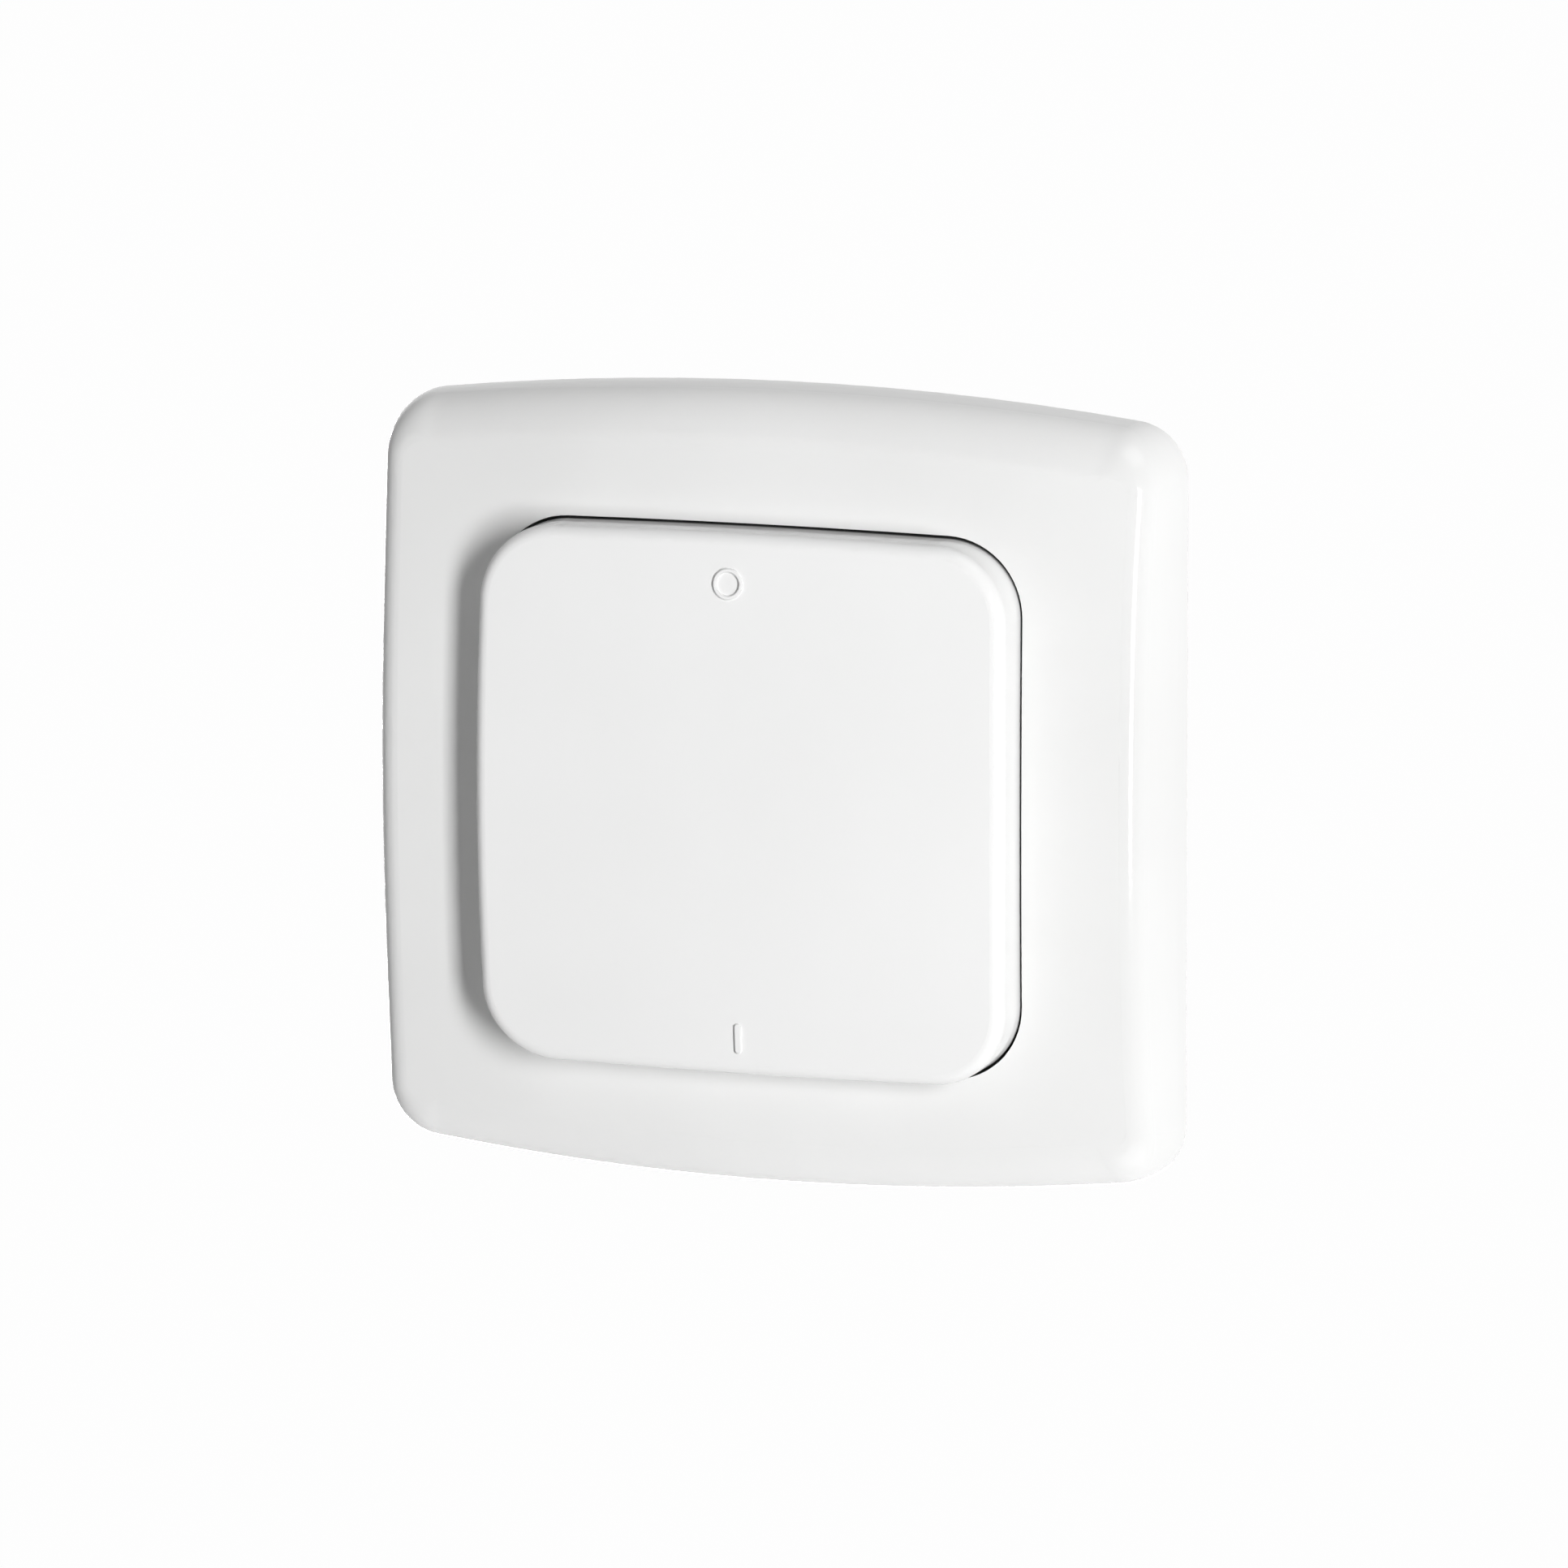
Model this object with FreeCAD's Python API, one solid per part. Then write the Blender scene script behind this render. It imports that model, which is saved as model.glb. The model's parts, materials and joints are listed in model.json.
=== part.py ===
import FreeCAD, Part
import math
import os

# A wireless wall switch: a rocker key in a moulded frame, over a battery radio module on a wall plate.
# Pieces are laid out with the switch on its back: x across, y up the wall, z out from the wall.
# stand_up() then turns each piece upright, with the wall in the plane y = 0 and the front facing -Y.
# Sizes are in millimetres.

Vec = FreeCAD.Vector

# Cover frame
frame_width = 82.75
frame_height = 80.3
frame_end_rise = 2.85           # arch of the top and bottom edges
frame_corner_radius = 5.6
frame_front = 12.1              # front face above the wall, at the middle
frame_crown_across = 641.0      # radius of the front face from side to side
frame_crown_along = 219.0       # radius of the front face from top to bottom
frame_waist = 5.0               # height at which the side walls start to lean in
frame_waist_inset = 0.35
frame_waist_rise = 0.3          # the side walls lean in more toward the corners
frame_waist_draft = 0.40        # lean of the end walls
frame_brow_inset = 2.3          # the same leans at the height of the front face
frame_brow_rise = 2.0
frame_brow_draft = 3.4
frame_side_radius = 2.6         # soft shoulder along the sides
frame_end_radius = 6.0          # wider shoulder along the arched ends
frame_wall = 2.0
frame_roof = 2.6
frame_foot = 0.3                # the rim stands this far off the wall
collar_wall = 1.2
collar_foot = 5.6

# Rocker key
key_width = 55.25
key_height = 54.15
key_bulge = 0.4                 # outward arch of each side of the key
key_corner_radius = 7.7
key_front = 16.7
key_crown = 265.0
key_edge_radius = 1.3
key_wall = 1.4
key_roof = 1.6
key_skirt_foot = 7.0
key_gap = 0.3                   # between the key and the frame's opening
key_rib_reach = 9.0             # long ribs, either side of the middle
key_rib_wall = 1.0
key_rib_foot = 13.0
mark_height = 0.15
ring_mark_across = -1.05
ring_mark_up = 22.15
ring_mark_diameter = 3.15
ring_mark_line = 0.45
bar_mark_across = -0.15
bar_mark_up = -23.3
bar_mark_length = 3.1
bar_mark_line = 0.75

# Pivot of the key
pivot_radius = 1.2
pivot_clearance = 0.05
pivot_above_board = 3.0
pivot_boss_radius = 1.6
pivot_boss_length = 0.8
pivot_tip_back = 0.9            # pin tip behind the outer face of the module cover

# Wall plate
plate_thickness = 2.0
plate_clearance = 0.25
plate_rim_wall = 1.2
plate_rim_height = 1.4
wall_screw_spacing = 60.0
wall_screw_hole_radius = 2.1
wall_screw_slot_length = 7.5
screw_pad_width = 1.6           # raised land around a wall screw hole
screw_pad_height = 0.8
pad_width = 40.0
pad_height = 14.0
pad_thickness = 0.8
pad_offset = 18.0
pad_edge_gap = 0.3

# Latches of the frame and of the module
latch_wall = 1.2
latch_hook = 0.7
latch_hook_depth = 0.8
latch_side_gap = 0.3
latch_lift_gap = 0.2
frame_latch_width = 8.0
frame_latch_spread = 20.0       # above and below the middle
catch_depth = 1.0
module_latch_width = 6.0
module_latch_spread = 11.0      # either side of the middle
lug_reach = 1.8
lug_depth = 1.5

# Transmitter module
module_size = 48.8
module_corner_radius = 3.0
module_wall = 1.4
tray_floor = 1.2
board_standoff = 1.6
board_thickness = 1.2
board_clearance = 0.2
module_headroom = 5.4           # board face to the outside of the cover
cover_roof = 1.2
post_spread = 20.0
post_radius = 2.5

# Module screws
screw_radius = 1.0
screw_clearance = 0.02
screw_head_radius = 1.9
screw_head_height = 1.2
screw_head_gap = 0.2
screw_reach = 3.0               # into the cover's post

# Push switches
switch_offset = 17.5            # above and below the middle
switch_size = 6.0
switch_height = 3.5
switch_plate_thickness = 0.3
switch_plate_corner = 0.6
switch_floor = 1.2
button_radius = 1.75
button_flange_radius = 2.2
button_flange_height = 0.5
button_clearance = 0.1
button_proud = 1.2              # above the module cover, at rest
button_hole_clearance = 0.35
button_lead_in = 0.3
nose_gap = 0.08                 # between a button and the key's nose
nose_radius = 0.8
terminal_length = 1.2
terminal_width = 0.7
terminal_thickness = 0.2
terminal_spread = 2.25

# Coin cell and its holder
cell_diameter = 20.0
cell_height = 3.2
cell_can_lip = 0.35             # step between the can and the insulated cap
cell_clearance = 0.2
holder_wall = 1.6
holder_floor = 0.6
holder_ledge = 0.5              # the cell rests this far above the holder's floor
holder_ledge_width = 1.9
holder_height = 3.6
holder_notch_width = 10.0
holder_notch_foot = 1.5
holder_tab_width = 5.0
holder_tab_lip = 0.7
holder_tab_height = 0.7
holder_tab_gap = 0.1
holder_opening_gap = 0.3
contact_thickness = 0.2
contact_width = 4.0
contact_length = 14.0
contact_gap = 0.05
clip_thickness = 0.3
clip_width = 5.0
clip_slot_gap = 0.5
clip_foot_length = 2.6
clip_knee = 1.0

# Parts on the board
lamp_across = 16.0
lamp_up = -15.5
lamp_radius = 1.5
lamp_flange_radius = 1.9
lamp_flange_height = 1.0
lamp_height = 5.2
lamp_hole_clearance = 0.15
antenna_across = -20.5
antenna_half_length = 15.0
antenna_height = 3.2
antenna_bend_radius = 2.0
antenna_wire_radius = 0.4
chip_body_width = 3.9
chip_height = 1.5
chip_standoff = 0.15
chip_pin_pitch = 1.27
chip_pin_width = 0.42
chip_pin_thickness = 0.2
chip_pin_reach = 1.05
chip_edge = 0.3
radio_across = 17.5
radio_up = 10.0
radio_length = 4.9
radio_pins = 4
encoder_across = -13.0
encoder_up = 14.0
encoder_length = 8.65
encoder_pins = 7
can_across = 16.5
can_up = -7.0
can_radius = 3.0
can_flange = 0.4
can_flange_height = 0.4
can_height = 3.0
can_edge_radius = 0.5
resistor_size = (2.0, 1.25, 0.5)
resistor_start = (-16.0, -14.0)
resistor_pitch = (3.0, -3.0)
resistor_count = (4, 2)
capacitor_size = (2.0, 1.25, 1.0)
capacitor_start = (7.5, 16.0)
capacitor_pitch = (3.0, 0.0)
capacitor_count = (3, 1)

# Heights above the wall that follow from the sizes above
tray_floor_top = plate_thickness + tray_floor
board_back = tray_floor_top + board_standoff
board_face = board_back + board_thickness
cover_top = board_face + module_headroom
cover_ceiling = cover_top - cover_roof
pivot_height = board_face + pivot_above_board
cell_seat = board_face + holder_floor + holder_ledge
cell_top = cell_seat + cell_height
button_top = cover_top + button_proud
nose_foot = button_top + nose_gap

plate_rim_top = plate_thickness + plate_rim_height
catch_foot = plate_rim_top + latch_lift_gap

# Half sizes and radii that follow
plate_inset = frame_wall + plate_clearance
latch_face = frame_width / 2 - plate_inset - plate_rim_wall
module_half = module_size / 2
board_half = module_half - module_wall - board_clearance
holder_inner_radius = cell_diameter / 2 + cell_clearance
holder_outer_radius = holder_inner_radius + holder_wall
tall = 3 * key_front            # taller than anything in the switch
tiny = 1e-6                     # lengths below this count as none
forward_share = 0.45            # a face looks forward if its normal leans out by more than this


def box(x0, x1, y0, y1, z0, z1):
    return Part.makeBox(x1 - x0, y1 - y0, z1 - z0, Vec(x0, y0, z0))


def disc(x, y, radius, z0, z1):
    return Part.makeCylinder(radius, z1 - z0, Vec(x, y, z0))


def slot(x, y, length, radius, z0, z1):
    # A slot that runs across, with round ends
    half = length / 2 - radius
    ends = [disc(x + side * half, y, radius, z0, z1) for side in (-1, 1)]
    middle = box(x - half, x + half, y - radius, y + radius, z0, z1)
    return ends[0].fuse([ends[1], middle]).removeSplitter()


def side_edge(start, middle, end, rise):
    if rise == 0:
        return Part.LineSegment(start, end).toShape()
    return Part.Arc(start, middle, end).toShape()


def upright_edges(solid):
    edges = []
    for edge in solid.Edges:
        run = edge.lastVertex().Point - edge.firstVertex().Point
        if math.hypot(run.x, run.y) < tiny < abs(run.z):
            edges.append(edge)
    return edges


def arched_prism(half_width, half_height, side_rise, end_rise, corner_radius, z0, z1):
    # A four-sided block with rounded corners, whose sides may each be a shallow arch
    x = half_width - side_rise
    y = half_height - end_rise
    corners = [Vec(x, -y, z0), Vec(x, y, z0), Vec(-x, y, z0), Vec(-x, -y, z0)]
    middles = [Vec(half_width, 0, z0), Vec(0, half_height, z0), Vec(-half_width, 0, z0), Vec(0, -half_height, z0)]
    rises = [side_rise, end_rise, side_rise, end_rise]
    edges = []
    for i in range(4):
        edges.append(side_edge(corners[i], middles[i], corners[(i + 1) % 4], rises[i]))
    prism = Part.Face(Part.Wire(edges)).extrude(Vec(0, 0, z1 - z0))
    return prism.makeFillet(corner_radius, upright_edges(prism))


def rounded_block(half_width, half_height, corner_radius, z0, z1):
    return arched_prism(half_width, half_height, 0, 0, corner_radius, z0, z1)


def key_block(grow, z0, z1):
    # The key's outline, grown outward by the given amount
    return arched_prism(
        key_width / 2 + grow, key_height / 2 + grow, key_bulge, key_bulge, key_corner_radius + grow, z0, z1
    )


def foot_wire(prism, height):
    for face in prism.Faces:
        if abs(face.CenterOfMass.z - height) < tiny:
            return face.OuterWire


def rim_edges(solid):
    # Edges between a face that looks forward and a wall
    forward = []
    walls = []
    for face in solid.Faces:
        u0, u1, v0, v1 = face.ParameterRange
        normal = face.normalAt((u0 + u1) / 2, (v0 + v1) / 2)
        if normal.z > forward_share:
            forward.append(face)
        elif normal.z > -forward_share:
            walls.append(face)
    edges = []
    for face in forward:
        for edge in face.Edges:
            if any(edge.isSame(other) for wall in walls for other in wall.Edges):
                edges.append(edge)
    return edges


def frame_crown(depth):
    # The space under the frame's crowned front face, or under a face at some depth behind it
    radius = frame_crown_along - depth
    front = frame_front - depth
    reach = frame_height
    fall = radius - math.sqrt(radius ** 2 - reach ** 2)
    ends = [Vec(0, -reach, front - fall), Vec(0, reach, front - fall)]
    corners = [Vec(0, reach, -tall), Vec(0, -reach, -tall)]
    edges = [
        Part.Arc(ends[0], Vec(0, 0, front), ends[1]).toShape(),
        Part.LineSegment(ends[1], corners[0]).toShape(),
        Part.LineSegment(corners[0], corners[1]).toShape(),
        Part.LineSegment(corners[1], ends[0]).toShape(),
    ]
    profile = Part.Face(Part.Wire(edges))
    axis_point = Vec(0, 0, frame_front - frame_crown_across)
    half_sweep = math.degrees(math.asin(frame_width / frame_crown_across))
    profile.rotate(axis_point, Vec(0, 1, 0), -half_sweep)
    return profile.revolve(axis_point, Vec(0, 1, 0), 2 * half_sweep)


def frame_level(height, inset, side_lean, side_rise, end_lean):
    # The frame's outline at one height, set in by a wall and by the lean of its sides and ends
    block = arched_prism(
        frame_width / 2 - inset - side_lean, frame_height / 2 - inset - end_lean, side_rise, frame_end_rise,
        frame_corner_radius - inset, height, height + frame_front,
    )
    return foot_wire(block, height)


def leaning_levels(inset):
    return [
        frame_level(frame_waist, inset, frame_waist_inset, frame_waist_rise, frame_waist_draft),
        frame_level(frame_front, inset, frame_brow_inset, frame_brow_rise, frame_brow_draft),
    ]


def shoulder_radius(point):
    # A rim edge ends either on a side or on one of the arched ends
    from_side = frame_width / 2 - abs(point.x)
    from_end = frame_height / 2 - abs(point.y)
    if from_side < from_end:
        return frame_side_radius
    return frame_end_radius


def soft_shoulder(blank):
    # Rounds the rim of the front, changing over at the corners from the sides' radius to the ends' radius
    document = FreeCAD.newDocument()
    base = document.addObject("Part::Feature")
    base.Shape = blank
    rounding = document.addObject("Part::Fillet")
    rounding.Base = base
    rim = rim_edges(base.Shape)
    rows = []
    for number, edge in enumerate(base.Shape.Edges, 1):
        if any(edge.isSame(other) for other in rim):
            first = shoulder_radius(edge.valueAt(edge.FirstParameter))
            last = shoulder_radius(edge.valueAt(edge.LastParameter))
            rows.append((number, first, last))
    rounding.Edges = rows
    document.recompute()
    rounded = rounding.Shape.copy()
    FreeCAD.closeDocument(document.Name)
    return rounded


def frame_outside():
    # Walls that bow inward as they rise to the crowned front, with a soft shoulder all round
    levels = [frame_level(frame_foot, 0, 0, 0, 0)] + leaning_levels(0)
    blank = Part.makeLoft(levels, True, False).common(frame_crown(0))
    return soft_shoulder(blank.Solids[0])


def frame_inside():
    # The hollow behind the front: upright beside the wall plate, then leaning in with the outside
    foot = frame_level(frame_foot - frame_wall, frame_wall, 0, 0, 0)
    rim = frame_level(plate_rim_top, frame_wall, 0, 0, 0)
    return Part.makeLoft([foot, rim] + leaning_levels(frame_wall), True, True).common(frame_crown(frame_roof))


def span(side, near, far):
    # A stretch on one side of the middle, in rising order
    return sorted((side * near, side * far))


def frame_catches():
    # Bars inside the side walls, held under the wall plate's hooks
    bars = []
    half = frame_latch_width / 2 + latch_side_gap
    for side in (-1, 1):
        x0, x1 = span(side, latch_face + latch_side_gap, frame_width / 2)
        for up in (-frame_latch_spread, frame_latch_spread):
            bars.append(box(x0, x1, up - half, up + half, catch_foot, catch_foot + catch_depth))
    return bars


def cover_frame():
    outside = frame_outside()
    collar = key_block(key_gap + collar_wall, collar_foot, tall).common(outside)
    catches = [bar.common(outside) for bar in frame_catches()]
    opening = key_block(key_gap, -tall, tall)
    return outside.cut(frame_inside()).fuse([collar] + catches).cut(opening).removeSplitter()


def key_crown_block(front, foot):
    # The space under a face that is crowned from top to bottom and level from side to side
    reach = key_height
    fall = key_crown - math.sqrt(key_crown ** 2 - reach ** 2)
    left = -key_width
    ends = [Vec(left, -reach, front - fall), Vec(left, reach, front - fall)]
    corners = [Vec(left, reach, foot), Vec(left, -reach, foot)]
    edges = [
        Part.Arc(ends[0], Vec(left, 0, front), ends[1]).toShape(),
        Part.LineSegment(ends[1], corners[0]).toShape(),
        Part.LineSegment(corners[0], corners[1]).toShape(),
        Part.LineSegment(corners[1], ends[0]).toShape(),
    ]
    return Part.Face(Part.Wire(edges)).extrude(Vec(2 * key_width, 0, 0))


def key_marks():
    # The raised ring and bar that tell off from on
    top = key_crown_block(key_front + mark_height, key_front - key_crown / 2)
    outer = ring_mark_diameter / 2
    ring = disc(ring_mark_across, ring_mark_up, outer, key_front - key_roof, tall)
    ring = ring.cut(disc(ring_mark_across, ring_mark_up, outer - ring_mark_line, 0, tall))
    half = bar_mark_line / 2
    bar = slot(0, 0, bar_mark_length, half, key_front - key_roof, tall)
    bar.rotate(Vec(0, 0, 0), Vec(0, 0, 1), 90)
    bar.translate(Vec(bar_mark_across, bar_mark_up, 0))
    foot = key_crown_block(key_front - key_roof / 2, -tall)
    return [mark.common(top).cut(foot) for mark in (ring, bar)]


def press_nose(up):
    # The round-nosed rib that bears on a push switch
    centre = nose_foot + nose_radius
    start = Vec(-key_rib_reach, up - nose_radius, centre)
    low = Vec(-key_rib_reach, up, nose_foot)
    end = Vec(-key_rib_reach, up + nose_radius, centre)
    tops = [Vec(point.x, point.y, tall) for point in (end, start)]
    edges = [
        Part.Arc(start, low, end).toShape(),
        Part.LineSegment(end, tops[0]).toShape(),
        Part.LineSegment(tops[0], tops[1]).toShape(),
        Part.LineSegment(tops[1], start).toShape(),
    ]
    return Part.Face(Part.Wire(edges)).extrude(Vec(2 * key_rib_reach, 0, 0))


def key_pivots():
    # Pins that turn in the module cover, on low bosses inside the key's side walls
    pins = []
    inner = key_width / 2 - key_wall
    for side in (-1, 1):
        tip = side * (module_half - pivot_tip_back)
        seat = side * (inner + key_wall / 2)
        boss = side * (inner - pivot_boss_length)
        for radius, start in ((pivot_radius, tip), (pivot_boss_radius, boss)):
            along = Vec(seat - start, 0, 0)
            pins.append(Part.makeCylinder(radius, along.Length, Vec(start, 0, pivot_height), along))
    return pins


def rocker_key():
    blank = key_block(0, key_skirt_foot, tall).common(key_crown_block(key_front, 0))
    outside = blank.makeFillet(key_edge_radius, rim_edges(blank))
    inside = key_block(-key_wall, 0, tall).common(key_crown_block(key_front - key_roof, 0))
    ribs = []
    reach = key_height / 2 - key_wall / 2
    for side in (-1, 1):
        x0, x1 = span(side, key_rib_reach, key_rib_reach + key_rib_wall)
        ribs.append(box(x0, x1, -reach, reach, key_rib_foot, tall))
        ribs.append(press_nose(side * switch_offset))
    ribs = [rib.common(blank).common(key_crown_block(key_front - key_roof / 2, 0)) for rib in ribs]
    return outside.cut(inside).fuse(ribs + key_pivots() + key_marks()).removeSplitter()


def plate_block(inset, z0, z1):
    step = plate_inset + inset
    return arched_prism(
        frame_width / 2 - step, frame_height / 2 - step, 0, frame_end_rise, frame_corner_radius - step, z0, z1
    )


def hook_profile(face, hook_foot, hook):
    # A sprung tongue seen edge on, its face at the given distance and its hook pointing outward
    top = hook_foot + latch_hook_depth
    points = [
        (face - latch_wall, plate_thickness),
        (face, plate_thickness),
        (face, hook_foot),
        (face + hook, hook_foot),
        (face, top),
        (face - latch_wall, top),
    ]
    return points


def frame_latches():
    tongues = []
    points = hook_profile(latch_face, catch_foot + catch_depth + latch_lift_gap, latch_hook)
    half = frame_latch_width / 2
    for side in (-1, 1):
        for up in (-frame_latch_spread, frame_latch_spread):
            corners = [Vec(side * x, up - half, z) for x, z in points]
            face = Part.Face(Part.makePolygon(corners + corners[:1]))
            tongues.append(face.extrude(Vec(0, 2 * half, 0)))
    return tongues


def module_latches():
    # Tongues above and below the module, hooked over its lugs
    tongues = []
    face = -(module_half + lug_reach + latch_side_gap)
    points = hook_profile(face, plate_thickness + lug_depth + latch_lift_gap, latch_hook)
    half = module_latch_width / 2
    for side in (-1, 1):
        for across in (-module_latch_spread, module_latch_spread):
            corners = [Vec(across - half, side * y, z) for y, z in points]
            tongue = Part.Face(Part.makePolygon(corners + corners[:1]))
            tongues.append(tongue.extrude(Vec(2 * half, 0, 0)))
    return tongues


def wall_holes(grow, z0, z1):
    # Two slots across and two round holes upright, all on the same spacing
    half = wall_screw_spacing / 2
    radius = wall_screw_hole_radius + grow
    holes = []
    for side in (-1, 1):
        holes.append(slot(side * half, 0, wall_screw_slot_length + 2 * grow, radius, z0, z1))
        holes.append(disc(0, side * half, radius, z0, z1))
    return holes


def pad_blocks(gap):
    half_width = pad_width / 2 + gap
    half_height = pad_height / 2 + gap
    blocks = []
    for side in (-1, 1):
        up = side * pad_offset
        blocks.append(box(-half_width, half_width, up - half_height, up + half_height, 0, pad_thickness))
    return blocks


def wall_plate():
    base = plate_block(0, 0, plate_thickness)
    rim = plate_block(0, plate_thickness, plate_rim_top).cut(plate_block(plate_rim_wall, 0, plate_rim_top))
    lands = wall_holes(screw_pad_width, 0, plate_thickness + screw_pad_height)
    plate = base.fuse([rim] + lands + frame_latches() + module_latches())
    return plate.cut(wall_holes(0, -tall, tall) + pad_blocks(pad_edge_gap)).removeSplitter()


def post_places():
    return [(x, y) for x in (-post_spread, post_spread) for y in (-post_spread, post_spread)]


def post_discs(radius, z0, z1):
    return [disc(x, y, radius, z0, z1) for x, y in post_places()]


def module_block(inset, z0, z1):
    half = module_half - inset
    return rounded_block(half, half, module_corner_radius - inset, z0, z1)


def module_tray():
    shell = module_block(0, plate_thickness, board_face).cut(module_block(module_wall, tray_floor_top, tall))
    lugs = []
    for side in (-1, 1):
        y0, y1 = span(side, module_half - module_wall, module_half + lug_reach)
        for across in (-module_latch_spread, module_latch_spread):
            half = module_latch_width / 2
            lugs.append(box(across - half, across + half, y0, y1, plate_thickness, plate_thickness + lug_depth))
    posts = post_discs(post_radius, plate_thickness, board_back)
    holes = post_discs(screw_radius + screw_clearance, 0, tall)
    head_room = screw_head_height + screw_head_gap
    recesses = post_discs(screw_head_radius + screw_head_gap, 0, plate_thickness + head_room)
    return shell.fuse(lugs + posts).cut(holes + recesses).removeSplitter()


def pivot_seats():
    # Bearing holes for the key's pins, with a ramp that lets each pin snap in
    cuts = []
    radius = pivot_radius + pivot_clearance
    for side in (-1, 1):
        outer = side * module_half
        along = Vec(-2 * side * module_wall, 0, 0)
        start = Vec(outer + side * module_wall / 2, 0, pivot_height)
        cuts.append(Part.makeCylinder(radius, along.Length, start, along))
        ramp = [
            Vec(outer, -radius, pivot_height + radius),
            Vec(outer, -radius, cover_top),
            Vec(outer - side * module_wall / 2, -radius, cover_top),
        ]
        cuts.append(Part.Face(Part.makePolygon(ramp + ramp[:1])).extrude(Vec(0, 2 * radius, 0)))
    return cuts


def module_cover():
    shell = module_block(0, board_face, cover_top).cut(module_block(module_wall, 0, cover_ceiling))
    posts = post_discs(post_radius, board_face, cover_ceiling)
    cuts = post_discs(screw_radius + screw_clearance, 0, board_face + screw_reach + screw_head_gap)
    cuts.append(disc(0, 0, holder_outer_radius + holder_opening_gap, 0, tall))
    cuts.append(disc(lamp_across, lamp_up, lamp_radius + lamp_hole_clearance, 0, tall))
    for side in (-1, 1):
        cuts.append(disc(0, side * switch_offset, button_radius + button_hole_clearance, 0, tall))
    return shell.fuse(posts).cut(cuts + pivot_seats()).removeSplitter()


def module_screws():
    screws = []
    seat = plate_thickness + screw_head_height + screw_head_gap
    low = seat - screw_head_height
    for x, y in post_places():
        head = disc(x, y, screw_head_radius, low, seat)
        shank = disc(x, y, screw_radius, seat, board_face + screw_reach)
        screws.append(head.fuse(shank).removeSplitter())
    return Part.makeCompound(screws)


def circuit_board():
    board = rounded_block(board_half, board_half, module_corner_radius - module_wall, board_back, board_face)
    return board.cut(post_discs(screw_radius + board_clearance, 0, tall))


def switch_cavity_top():
    return board_face + switch_height - switch_plate_thickness


def switch_body(up):
    half = switch_size / 2
    body = box(-half, half, up - half, up + half, board_face, switch_cavity_top())
    return body.cut(disc(0, up, button_flange_radius + button_clearance, board_face + switch_floor, tall))


def switch_plate(up):
    half = switch_size / 2
    low = switch_cavity_top()
    plate = box(-half, half, up - half, up + half, low, low + switch_plate_thickness)
    plate = plate.makeChamfer(switch_plate_corner, upright_edges(plate))
    return plate.cut(disc(0, up, button_radius + button_clearance, 0, tall))


def switch_button(up):
    middle = (board_face + switch_floor + switch_cavity_top()) / 2
    low = middle - button_flange_height / 2
    stem = disc(0, up, button_radius, low, button_top)
    stem = stem.makeChamfer(button_lead_in, [edge for edge in stem.Edges if edge.BoundBox.ZMin > middle])
    flange = disc(0, up, button_flange_radius, low, low + button_flange_height)
    return stem.fuse(flange).removeSplitter()


def switch_terminals():
    feet = []
    for up in (-switch_offset, switch_offset):
        for side in (-1, 1):
            x0, x1 = span(side, switch_size / 2, switch_size / 2 + terminal_length)
            for row in (-terminal_spread, terminal_spread):
                y = up + row
                half = terminal_width / 2
                feet.append(box(x0, x1, y - half, y + half, board_face, board_face + terminal_thickness))
    return Part.makeCompound(feet)


def turned(points, x, y):
    # A solid of revolution about an upright line, from points given as radius and height
    corners = [Vec(radius, 0, height) for radius, height in points]
    solid = Part.Face(Part.makePolygon(corners + corners[:1])).revolve(Vec(0, 0, 0), Vec(0, 0, 1), 360)
    solid.translate(Vec(x, y, 0))
    return solid


def coin_cell():
    radius = cell_diameter / 2
    can_step = radius - 2 * cell_can_lip
    cap_step = can_step - 2 * cell_can_lip
    points = [
        (0, cell_seat),
        (cap_step, cell_seat),
        (cap_step, cell_seat + cell_can_lip),
        (can_step, cell_seat + cell_can_lip),
        (can_step, cell_seat),
        (radius - cell_can_lip, cell_seat),
        (radius, cell_seat + cell_can_lip),
        (radius, cell_top - cell_can_lip),
        (radius - cell_can_lip, cell_top),
        (0, cell_top),
    ]
    return turned(points, 0, 0)


def cell_holder():
    wall_top = board_face + holder_height
    lip_foot = cell_top + holder_tab_gap
    lip_top = lip_foot + holder_tab_height
    cup = disc(0, 0, holder_outer_radius, board_face, wall_top)
    tab_zone = box(-holder_tab_width / 2, holder_tab_width / 2, -tall, tall, cell_seat, lip_top)
    tab_ring = disc(0, 0, holder_outer_radius, cell_seat, lip_top)
    tabs = tab_ring.common(tab_zone)
    lip_bore = disc(0, 0, holder_inner_radius - holder_tab_lip, cell_seat, tall)
    bore = disc(0, 0, holder_inner_radius, cell_seat, lip_foot)
    well_radius = holder_inner_radius - holder_ledge_width
    well = disc(0, 0, well_radius, board_face + holder_floor, tall)
    pry_notch = box(-tall, -well_radius, -holder_notch_width / 2, holder_notch_width / 2,
                    board_face + holder_notch_foot, tall)
    half = clip_width / 2 + clip_slot_gap
    clip_slot = box(well_radius, tall, -half, half, cell_seat, tall)
    return cup.fuse(tabs).cut([bore, lip_bore, well, pry_notch, clip_slot]).removeSplitter()


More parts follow.
